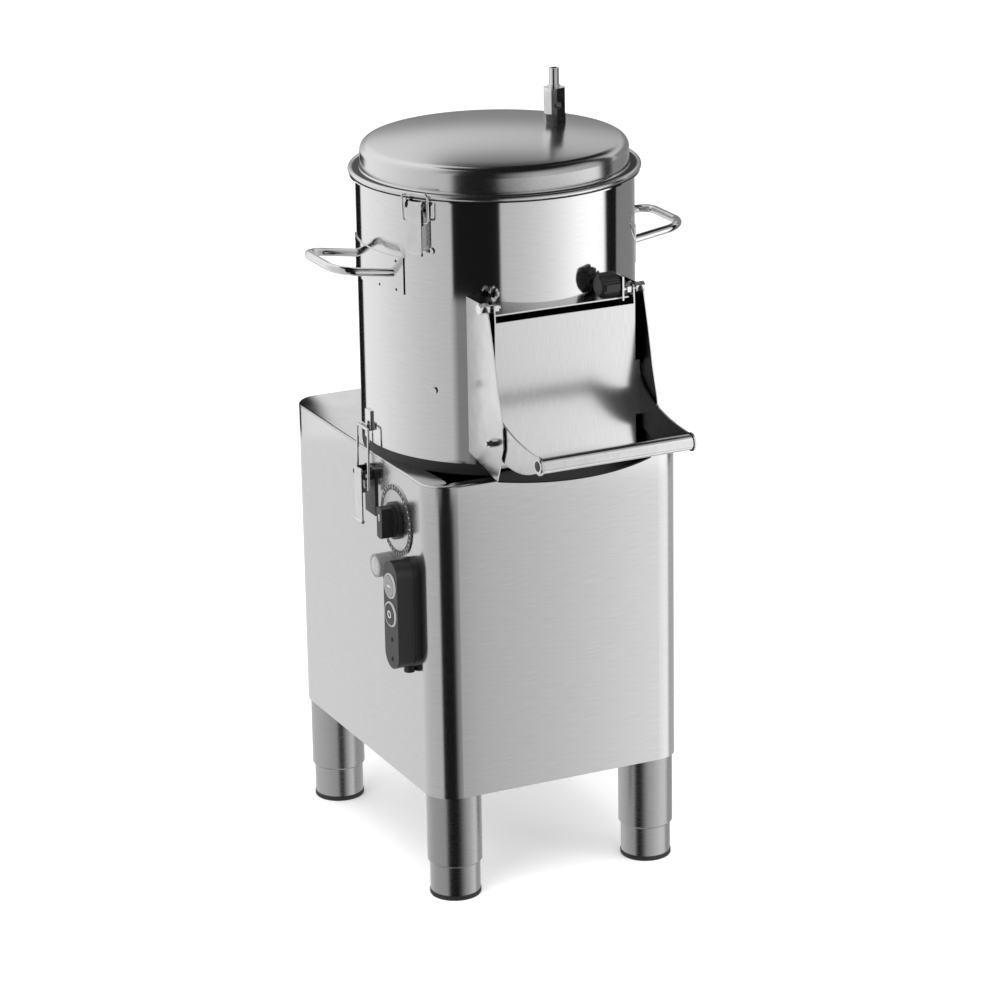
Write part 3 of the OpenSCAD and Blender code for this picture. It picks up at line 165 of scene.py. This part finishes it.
# %% Which solid has which finish
DRESS = {
    "brushed_steel": ["cabinet_shell", "top_plate", "base_plate", "rear_panel", "motor_bracket"],
    "shaded_leg_steel": ["leg_sleeves"],
    "satin_steel": ["lid_shell"],
    "sheet_steel": ["door_panel", "outlet_cheek_left", "outlet_cheek_right", "outlet_top_plate"],
    "mirror_steel": ["drum_shell", "handle_plates", "side_keepers", "lid_latch_base", "lid_hinge_base"],
    "polished_steel": ["handle_left", "handle_right", "door_bar", "drum_screws", "rear_panel_screws",
                       "lid_latch_lever", "lid_latch_bail", "side_latch_lever_left",
                       "side_latch_lever_right", "side_latch_bail_left", "side_latch_bail_right",
                       "inlet_spigot", "lid_hinge_strap", "sump_pan", "drain_pipe", "drive_shaft",
                       "spindle_bearings", "inlet_block"],
    "dark_steel": ["bearing_housing", "driven_pulley", "motor_pulley", "side_latch_bases"],
    # the chute's floor is near black: painted shade and dark reflection
    "painted_shade_sheet": ["outlet_floor"],
    # the seat ring is black rubber, and its black band also stands in for the shadow under the drum: partly painted
    # shade
    "black_rubber": ["seat_ring", "lid_gasket", "drive_belt", "cable_gland"],
    "black_plastic": ["door_clamp_knob", "timer_knob", "button_box_base", "timer_body"],
    "grey_plastic": ["button_box_cover"],
    "white_plastic": ["pilot_lamp", "start_button"],
    "dial_plate": ["timer_dial", "disc_carrier"],
    "motor_paint": ["motor_body"],
    "abrasive": ["abrasive_surface", "abrasive_liners"],
}
DRESS["shaded_leg_steel"] += [n for n in NODES if n.startswith("adjustable_foot")]
DRESS["black_plastic"] += ["stop_button"]

# %% Put the finishes on
for finish, members in DRESS.items():
    for member in members:
        slots = NODES[member].data.materials
        slots.clear()
        slots.append(FINISHES[finish])
undressed = set(NODES) - {member for members in DRESS.values() for member in members}
print("dressed", len(NODES), "nodes; without a finish:", sorted(undressed))

# %% [markdown]
# ## Helpers for new pieces
# Turned things are spun from half of their outline, as on a lathe. Flat things
# are cut as an outline and given a thickness. Every new piece names the body
# that it moves with and the slot of its finish. Lengths here are millimetres.

# %% Helpers
MM = 0.001


def piece(name, mesh, finish, body, sharp=35):
    bmesh.ops.remove_doubles(mesh, verts=mesh.verts, dist=1e-7)
    bmesh.ops.recalc_face_normals(mesh, faces=mesh.faces)
    data = bpy.data.meshes.new(name)
    mesh.to_mesh(data)
    mesh.free()
    data.materials.append(FINISHES[finish])
    data.shade_smooth()
    data.set_sharp_from_angle(angle=math.radians(sharp))
    thing = bpy.data.objects.new(name, data)
    bpy.context.scene.collection.objects.link(thing)
    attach(thing, body)
    return thing


def turned(mesh, outline, steps=96, place=Matrix.Identity(4), closed=False):
    """Spins an outline of (radius, height) in millimetres round Z, then puts it in its place"""
    before = set(mesh.verts)
    points = [mesh.verts.new((radius * MM, 0, height * MM)) for radius, height in outline]
    ends = points[1:] + points[:1] if closed else points[1:]
    edges = [mesh.edges.new(pair) for pair in zip(points, ends)]
    bmesh.ops.spin(mesh, geom=points + edges, cent=(0, 0, 0), axis=(0, 0, 1), angle=math.tau, steps=steps,
                   use_merge=True)
    bmesh.ops.transform(mesh, matrix=place, verts=[vert for vert in mesh.verts if vert not in before])


def block(mesh, low, high, place=Matrix.Identity(4), bevel=0):
    """A box between two corners in millimetres, with its edges rounded"""
    size = [(b - a) * MM for a, b in zip(low, high)]
    middle = Vector([(a + b) / 2 * MM for a, b in zip(low, high)])
    stretch = Matrix.Translation(middle) @ Matrix.Diagonal((*size, 1))
    verts = bmesh.ops.create_cube(mesh, size=1, matrix=stretch)["verts"]
    if bevel:
        edges = {edge for vert in verts for edge in vert.link_edges}
        rounded = bmesh.ops.bevel(mesh, geom=list(edges), offset=bevel * MM, offset_type="OFFSET", segments=2,
                                  profile=0.5, affect="EDGES", material=-1)
        verts = list({vert for face in rounded["faces"] for vert in face.verts} |
                     {vert for vert in verts if vert.is_valid})
    bmesh.ops.transform(mesh, matrix=place, verts=verts)


def arc(centre_r, centre_z, radius, first, last, steps):
    """Points on an arc from one angle to another, in degrees"""
    return [(centre_r + radius * math.cos(math.radians(first + (last - first) * i / steps)),
             centre_z + radius * math.sin(math.radians(first + (last - first) * i / steps)))
            for i in range(steps + 1)]


def facing(direction, place):
    """Turns +Z towards a direction and moves the origin to a place in millimetres"""
    turn = Vector(direction).to_track_quat("Z", "Y").to_matrix().to_4x4()
    return Matrix.Translation(Vector(place) * MM) @ turn


# %% [markdown]
# ## The lid
# The real lid is pressed from one sheet and its edge is rolled round a wire. The
# CAD lid has a plain band there. The new one is spun from one outline: a shallow
# crown, a tight shoulder, an upright wall, a small fillet and the rolled bead.

# %% Spun lid with a rolled bead
SHEET = 1.2
CROWN_R, CROWN_Z = 1403.9, -590.9
SHOULDER_R, SHOULDER_Z, SHOULDER, SHOULDER_END = 133.5, 795.6, 11, 84.5
FILLET_R, FILLET_Z, FILLET = 147.5, 780.6, 3
BEAD_R, BEAD_Z, BEAD, BEAD_GAP = 154.6, 776.8, 2.8, 163


def crown(radius, angles):
    """Points on the shallow crown, at angles in degrees from its top"""
    return [(radius * math.sin(math.radians(a)), CROWN_Z + radius * math.cos(math.radians(a))) for a in angles]


outside = crown(CROWN_R, (0, 0.7, 1.4, 2.1, 2.8, 3.5, 4.2, 4.9))
outside += arc(SHOULDER_R, SHOULDER_Z, SHOULDER, SHOULDER_END, 0, 14)
outside += arc(FILLET_R, FILLET_Z, FILLET, 180, 270, 6)
outside += arc(BEAD_R, BEAD_Z, BEAD, BEAD_GAP, -BEAD_GAP, 24)
inside = arc(FILLET_R, FILLET_Z, FILLET + SHEET, 270, 180, 6)
inside += arc(SHOULDER_R, SHOULDER_Z, SHOULDER - SHEET, 0, SHOULDER_END, 10)
inside += crown(CROWN_R - SHEET, (4.2, 2.8, 1.4, 0))
lid_mesh = bmesh.new()
turned(lid_mesh, outside + inside, steps=144)
lid = piece("spun_lid", lid_mesh, "spun_steel", "lid")
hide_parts("lid_shell")
print("lid", [round(side, 4) for side in lid.dimensions])

# %% [markdown]
# ## The cabinet's top
# The top is a folded sheet, so its edge is round and takes a bright line of
# light. Under it runs the dark seam where it meets the cabinet's wall.

# %% Folded top with a round edge and a seam
def outline_loop(mesh, inset, height, half_x=150, front=-148, back=232, corner=31, per_corner=16):
    loop = []
    for turn, x, y in ((0, half_x, back), (90, -half_x, back), (180, -half_x, front), (270, half_x, front)):
        centre_x = x - math.copysign(corner, x)
        centre_y = y - math.copysign(corner, y)
        for i in range(per_corner):
            angle = math.radians(turn + 90 * i / (per_corner - 1))
            loop.append(mesh.verts.new(((centre_x + (corner - inset) * math.cos(angle)) * MM,
                                        (centre_y + (corner - inset) * math.sin(angle)) * MM, height * MM)))
    return [mesh.edges.new((loop[i - 1], loop[i])) for i in range(len(loop))]


top_mesh = bmesh.new()
TOP_LOW, TOP_THICK, SEAM, DRUM_HOLE_R = 473, 2.0, 0.7, 141
rows = [(SEAM, TOP_LOW), (SEAM, TOP_LOW + 0.3), (0, TOP_LOW + 0.5)]
for turn in (22, 45, 67, 90):
    angle = math.radians(turn)
    rows.append((TOP_THICK - TOP_THICK * math.cos(angle), TOP_LOW + TOP_THICK * math.sin(angle)))
loops = [outline_loop(top_mesh, inset, height) for inset, height in rows]
for lower, upper in zip(loops, loops[1:]):
    bmesh.ops.bridge_loops(top_mesh, edges=lower + upper)
hole = []
for height in (TOP_LOW + TOP_THICK, TOP_LOW):
    ring = bmesh.ops.create_circle(top_mesh, cap_ends=False, segments=128, radius=DRUM_HOLE_R * MM,
                                   matrix=Matrix.Translation((0, 0, height * MM)))["verts"]
    hole.append(list({edge for vert in ring for edge in vert.link_edges}))
bmesh.ops.bridge_loops(top_mesh, edges=loops[-1] + hole[0])
bmesh.ops.bridge_loops(top_mesh, edges=hole[0] + hole[1])
bmesh.ops.bridge_loops(top_mesh, edges=loops[0] + hole[1])
top = piece("folded_top", top_mesh, "brushed_steel", "base", sharp=30)
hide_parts("top_plate")
print("top", [round(side, 4) for side in top.dimensions])

# %% [markdown]
# ## Dial and knob
# The timer's dial carries a printed grey ring with fine light marks, longer at
# every fifth minute. The knob has a light line that points to them.

# %% Printed ring, marks and pointer
LEFT = (-1, 0, 0)
DIAL_FACE_X, KNOB_FACE_X, DIAL_Y, DIAL_Z = -151.5, -170.8, -58.0, 416.0
dial_place = facing(LEFT, (DIAL_FACE_X, DIAL_Y, DIAL_Z))
ring_mesh = bmesh.new()
turned(ring_mesh, [(33.2, 0), (33.2, 0.15), (39.0, 0.15), (39.0, 0)], steps=96, place=dial_place, closed=True)
piece("dial_ring", ring_mesh, "dial_print", "base")
marks = bmesh.new()
for minute in range(31):
    turn = Matrix.Rotation(math.radians(150 - 10 * minute), 4, "Z")
    long = 4.2 if minute % 5 == 0 else 2.6
    block(marks, (38.2 - long, -0.28, 0.1), (38.2, 0.28, 0.25), dial_place @ turn)
piece("dial_marks", marks, "white_print", "base")
pointer = bmesh.new()
block(pointer, (2, -0.7, -0.2), (9.5, 0.7, 0.25),
      facing(LEFT, (KNOB_FACE_X, DIAL_Y, DIAL_Z)) @ Matrix.Rotation(math.radians(90), 4, "Z"), 0.15)
piece("knob_pointer", pointer, "white_print", "timer_knob")
print("dial: ring, marks and pointer")

# %% [markdown]
# ## Push-button box and lamp
# Each button sits in a raised round collar and carries the usual sign: a line
# for on, a ring for off. Two small screws hold the cover. The lamp has a
# clear-edged lens in a collar.

# %% Collars, signs, screws and lens
BOX_FACE_X, BUTTON_FACE_X, BOX_Y, START_Z, STOP_Z = -176, -178, -95, 357, 325
LAMP_FACE = (-166, -33, 359)
for name, height in (("start_collar", START_Z), ("stop_collar", STOP_Z)):
    collar = bmesh.new()
    turned(collar, [(11.9, -0.5), (11.9, 1.3), (12.5, 1.8), (13.6, 1.5), (14.3, -0.5)], steps=64,
           place=facing(LEFT, (BOX_FACE_X, BOX_Y, height)), closed=True)
    piece(name, collar, "pale_plastic", "base")
signs = bmesh.new()
block(signs, (-3.6, -0.6, -0.1), (3.6, 0.6, 0.2), facing(LEFT, (BUTTON_FACE_X, BOX_Y, START_Z)), 0.1)
piece("start_sign", signs, "white_print", "start_button")
signs = bmesh.new()
turned(signs, [(3.0, -0.1), (3.0, 0.2), (4.1, 0.2), (4.1, -0.1)], steps=48,
       place=facing(LEFT, (BUTTON_FACE_X, BOX_Y, STOP_Z)), closed=True)
piece("stop_sign", signs, "white_print", "stop_button")


def slotted_screw(mesh, place, radius, height, slot_w):
    """A cheese-head screw: a turned head whose slot is two raised halves with a gap between"""
    low = height * 0.55
    turned(mesh, [(0, 0), (0, low), (radius * 0.82, low), (radius, height * 0.3), (radius, 0)], steps=32, place=place)
    for side in (-1, 1):
        middle = side * (slot_w / 2 + radius * 0.28)
        block(mesh, (-radius * 0.62, middle - radius * 0.27, height * 0.4),
              (radius * 0.62, middle + radius * 0.27, height), place, 0.15)


box_screws = bmesh.new()
for height in (296, 274):
    slotted_screw(box_screws, facing(LEFT, (BOX_FACE_X, BOX_Y, height)), 2.6, 0.9, 0.8)
piece("box_screws", box_screws, "dark_steel", "base")
lens = bmesh.new()
turned(lens, [(0, 2.0), (4, 1.8), (7.5, 1.2), (9.6, 0.2), (9.9, -0.2), (9.9, -0.6), (0, -0.6)], steps=48,
       place=facing(LEFT, LAMP_FACE))
piece("lamp_lens", lens, "lamp_lens", "base", sharp=50)
print("box: collars, signs, screws and lens")

# %% [markdown]
# ## Feet, bar and chute
# The feet end in a black rubber ring. The door's bar is a tube with a dark plug
# in each end. The inner sides of the chute's side plates carry a black skin of painted shade and dark reflection.

# %% Foot rings
LEG_X, LEG_FRONT_Y, LEG_REAR_Y = 117, -117.5, 201.5
for end, y in (("front", LEG_FRONT_Y), ("rear", LEG_REAR_Y)):
    for hand, x in (("left", -LEG_X), ("right", LEG_X)):
        foot = bmesh.new()
        turned(foot, [(20, 0.1), (20, 5.4), (27.9, 5.4), (28.2, 4.8), (28.2, 1.2), (27.4, 0.1)], steps=72,
               place=Matrix.Translation((x * MM, y * MM, 0)), closed=True)
        piece(f"foot_ring_{end}_{hand}", foot, "black_rubber", f"foot_{end}_{hand}")

# %% Bar plugs
BAR_END, BAR_Y, BAR_Z = 90, -281, 530
plugs = bmesh.new()
for side in (-1, 1):
    turned(plugs, [(0, 0.9), (3.2, 0.9), (5.2, 0.5), (5.9, -0.3), (5.9, -1), (0, -1)], steps=48,
           place=facing((side, 0, 0), (side * BAR_END, BAR_Y, BAR_Z)))
piece("bar_plugs", plugs, "black_plastic", "door")


# %% Painted shade and dark reflection: black skins on the inner faces of the side plates, a hair inside the steel
def painted_shade_skin(name, node, body, side, reach):
    sheet = bmesh.new()
    sheet.from_mesh(NODES[node].data)
    gone = [face for face in sheet.faces
            if not (face.normal.x * side < -0.99
                    and reach[0] < face.calc_center_median().x * side / MM < reach[1])]
    bmesh.ops.delete(sheet, geom=gone, context="FACES")
    bmesh.ops.translate(sheet, vec=(-side * 0.15 * MM, 0, 0), verts=sheet.verts)
    return piece(name, sheet, "painted_shade_sheet", body)


# black skins of painted shade and dark reflection on the cheeks and the door's arms
painted_shade_skins = [painted_shade_skin("cheek_painted_shade_right", "outlet_cheek_right", "drum", 1, (89, 91)),
           painted_shade_skin("cheek_painted_shade_left", "outlet_cheek_left", "drum", -1, (89, 91)),
           painted_shade_skin("arm_painted_shade_right", "door_panel", "door", 1, (86, 88)),
           painted_shade_skin("arm_painted_shade_left", "door_panel", "door", -1, (86, 88))]
print("linings:", [(sheet.name, len(sheet.data.polygons)) for sheet in painted_shade_skins])

# %% [markdown]
# ## Small things on the drum and the back
# The handle plates are held by spot welds, which leave shallow round dents with
# a dark rim. The back panel breathes through louvres with pressed hoods.

# %% Spot welds on the handle plates
PLATE_R = 151.5
SPOTS = ((-20.5, 669.5), (-20.5, 700.5), (20.5, 669.5), (20.5, 700.5), (-10, 670), (10, 670))
welds = bmesh.new()
for middle in (0, 180):
    for turn, height in SPOTS:
        angle = math.radians(middle + turn)
        out = (math.cos(angle), math.sin(angle), 0)
        turned(welds, [(0, 0.05), (0.9, 0.05), (1.1, 0.22), (1.5, 0.12), (1.6, -0.3)], steps=16,
               place=facing(out, (PLATE_R * out[0], PLATE_R * out[1], height)))
piece("spot_welds", welds, "dark_steel", "drum")

# %% Louvre hoods
LOUVRES, FIRST_Z, PITCH = 8, 219.88, 22.008
hoods = bmesh.new()
for row in range(LOUVRES):
    base_z = FIRST_Z + PITCH * row
    block(hoods, (-85, 233.2, base_z + 4.4), (25, 237.5, base_z + 8.6), bevel=1.8)
piece("louvre_hoods", hoods, "brushed_steel", "base")
print("drum and back: welds and hoods")

# %% [markdown]
# ## Floor, light and surround
# Polished steel has no look of its own: it shows what stands round it. This studio
# has a pale wall with soft lamps, and black and grey boards that give the drum its
# stripes. They could be separate panels, but one ring is easier to place and to
# change. Each board is one plain shade with soft edges. Only reflections see the
# ring, so it takes no light from the floor and stays out of the picture.

# %% The floor
def stage_mesh(name, mesh, material):
    data = bpy.data.meshes.new(name)
    mesh.to_mesh(data)
    mesh.free()
    data.materials.append(material)
    thing = bpy.data.objects.new(name, data)
    bpy.context.scene.collection.objects.link(thing)
    return thing


nodes, links, shader = blank("studio_floor", (0.90, 0.90, 0.90), 0, 0.8)
tint(nodes, links, shader, stretched_noise(nodes, links, 3, (1, 1, 1)), (0.90,) * 3, (0.93,) * 3)
shader.inputs["Emission Color"].default_value = (1, 1, 1, 1)
shader.inputs["Emission Strength"].default_value = 0.22
floor_mesh = bmesh.new()
bmesh.ops.create_circle(floor_mesh, cap_ends=True, segments=96, radius=14)
floor = stage_mesh("studio_floor", floor_mesh, FINISHES["studio_floor"])
print("floor", floor.dimensions[:2])

# %% The boards' material glows with the shade that each point carries
board = bpy.data.materials.new("board")
board.use_nodes = True
board.node_tree.nodes.clear()
shade_in = board.node_tree.nodes.new("ShaderNodeAttribute")
shade_in.attribute_name = "shade"
glow = board.node_tree.nodes.new("ShaderNodeEmission")
glow_out = board.node_tree.nodes.new("ShaderNodeOutputMaterial")
board.node_tree.links.new(shade_in.outputs["Color"], glow.inputs["Color"])
board.node_tree.links.new(glow.outputs["Emission"], glow_out.inputs["Surface"])

# %% The wall and the soft lamps on it: direction, spread, brightness, lowest height
WALL = 0.55
LAMPS = [(-38, 30, 0.6, -1), (-60, 40, 0.3, 0.385), (115, 55, 0.3, -1), (150, 50, 0.2, 0.385)]
print("lamps on the wall:", len(LAMPS))

# %% The boards, each one plain shade: directions in degrees and heights in metres
# first and last direction, their edge widths, low and high, their edge width, brightness
BLACK, GREY = 0.01, 0.25
BOARDS = {
    "low_side_board": (-28, 10, 5, 20, -1, 0.385, 0.01, 0.5),
    "low_black_board": (-139.7, -98, 2.5, 24, -1, 0.385, 0.01, BLACK),
    "middle_grey_edge": (-144.5, -133, 5, 2, 0.385, 0.592, 0.01, GREY),
    "middle_black_board": (-133.5, -111, 5, 4, 0.385, 0.592, 0.01, BLACK),
    "high_black_board": (-144.9, -112.3, 1.4, 1.6, 0.592, 0.735, 0.01, BLACK),
    "grey_side_board": (-14, 40, 2, 50, 0.385, 0.735, 0.01, GREY),
    "black_strip_behind": (97.2, 118.8, 2.5, 2.5, 0.385, 0.735, 0.01, BLACK),
    "horizon_behind": (-10, 105, 4, 30, 0.735, 0.89, 0.04, GREY),
    "veil_in_front": (-112, -14, 12, 2, 0.735, 3, 0.01, 0.5),
    "black_strip_right": (-29.5, -13.8, 4, 2.5, 0.385, 3, 0.01, BLACK),
    "top_black_board": (-145, -100, 2, 28, 0.735, 3, 0.01, BLACK),
    "ceiling_in_front": (-160, 0, 16, 10, 1.05, 3, 0.3, BLACK),
    "ceiling_behind": (0, 77, 10, 8, 1.02, 3, 0.08, BLACK),
}
print("boards:", len(BOARDS))


# %% How bright the surroundings are in one direction at one height
def past(value, edge, width):
    return min(1, max(0, (value - edge) / width + 0.5))


def brightness(direction, height):
    light = WALL
    for aim, spread, strength, lowest in LAMPS:
        apart = (direction - aim + 180) % 360 - 180
        light += strength * math.exp(-(apart / spread) ** 2) * (height > lowest)
    for first, last, first_edge, last_edge, low, high, edge, shade in BOARDS.values():
        cover = past(direction, first, first_edge) * (1 - past(direction, last, last_edge))
        cover *= past(height, low, edge) * (1 - past(height, high, edge))
        light += (shade - light) * cover
    return light


# %% The ring that carries them, seen in reflections only
RADIUS, STEPS, RING_LOW, RING_HIGH = 0.42, 720, -0.6, 1.7
ring_mesh = bmesh.new()
edges = {round(height + share * edge, 4) for *_, low, high, edge, shade in BOARDS.values()
         for height in (low, high) for share in (-0.5, 0.5)}
heights = [RING_LOW] + sorted(height for height in edges if RING_LOW < height < RING_HIGH) + [RING_HIGH]
column = [ring_mesh.verts.new((-RADIUS, 0, height)) for height in heights]
column_edges = [ring_mesh.edges.new(pair) for pair in zip(column, column[1:])]
bmesh.ops.spin(ring_mesh, geom=column + column_edges, cent=(0, 0, 0), axis=(0, 0, 1), angle=math.tau,
               steps=STEPS, use_merge=True)
shades = ring_mesh.verts.layers.float_color.new("shade")
for point in ring_mesh.verts:
    light = brightness(math.degrees(math.atan2(point.co.y, point.co.x)), point.co.z)
    point[shades] = (light, light, light, 1)
ceiling = bmesh.ops.create_circle(ring_mesh, cap_ends=True, segments=64, radius=RADIUS,
                                  matrix=Matrix.Translation((0, 0, RING_HIGH)))
for point in ceiling["verts"]:
    point[shades] = (BLACK, BLACK, BLACK, 1)
ring = stage_mesh("boards", ring_mesh, board)
ring.visible_camera = False
ring.visible_diffuse = False
ring.visible_shadow = False
ring.visible_transmission = False
floor.visible_glossy = False
print("ring:", len(ring.data.vertices), "points")

# %% Light
world = bpy.data.worlds.new("studio")
world.use_nodes = True
world.node_tree.nodes["Background"].inputs["Color"].default_value = (1.0, 1.0, 1.0, 1)
world.node_tree.nodes["Background"].inputs["Strength"].default_value = 1.0
bpy.context.scene.world = world
bpy.context.scene.view_settings.view_transform = "Standard"


def soft_light(name, place, target, width, height, watts):
    data = bpy.data.lights.new(name, "AREA")
    data.shape = "RECTANGLE"
    data.size, data.size_y, data.energy = width, height, watts
    light = bpy.data.objects.new(name, data)
    bpy.context.scene.collection.objects.link(light)
    light.location = place
    light.visible_glossy = False
    light.rotation_euler = (Vector(target) - Vector(place)).to_track_quat("-Z", "Y").to_euler()
    return light


soft_light("overhead", (-0.4, -0.6, 2.8), (0, 0, 0.4), 2.4, 1.8, 40)
soft_light("front_left", (-2.6, -1.6, 1.9), (0, 0, 0.4), 1.4, 2.0, 25)
soft_light("front_right", (2.2, -2.6, 2.0), (0, 0, 0.4), 1.2, 2.0, 15)
print("lights: 3")

# %% Camera
azimuth, elevation, roll = (math.radians(angle) for angle in (-25.3, 18.3, -0.96))
level = math.cos(elevation)
back = Vector((math.sin(azimuth) * level, -math.cos(azimuth) * level, math.sin(elevation)))
right = Vector((math.cos(azimuth), math.sin(azimuth), 0))
up = back.cross(right)
side = math.cos(roll) * right + math.sin(roll) * up
top = math.cos(roll) * up - math.sin(roll) * right
camera_data = bpy.data.cameras.new("camera")
camera_data.lens, camera_data.sensor_width, camera_data.clip_end = 144.2, 36, 100
camera = bpy.data.objects.new("camera", camera_data)
bpy.context.scene.collection.objects.link(camera)
facing_back = Matrix((side, top, back)).transposed().to_4x4()
camera.matrix_world = Matrix.Translation((-1.7890, -3.7846, 1.7825)) @ facing_back
bpy.context.scene.camera = camera
print("camera at", tuple(round(value, 3) for value in camera.location))

# %% Update the scene
bpy.context.view_layer.update()
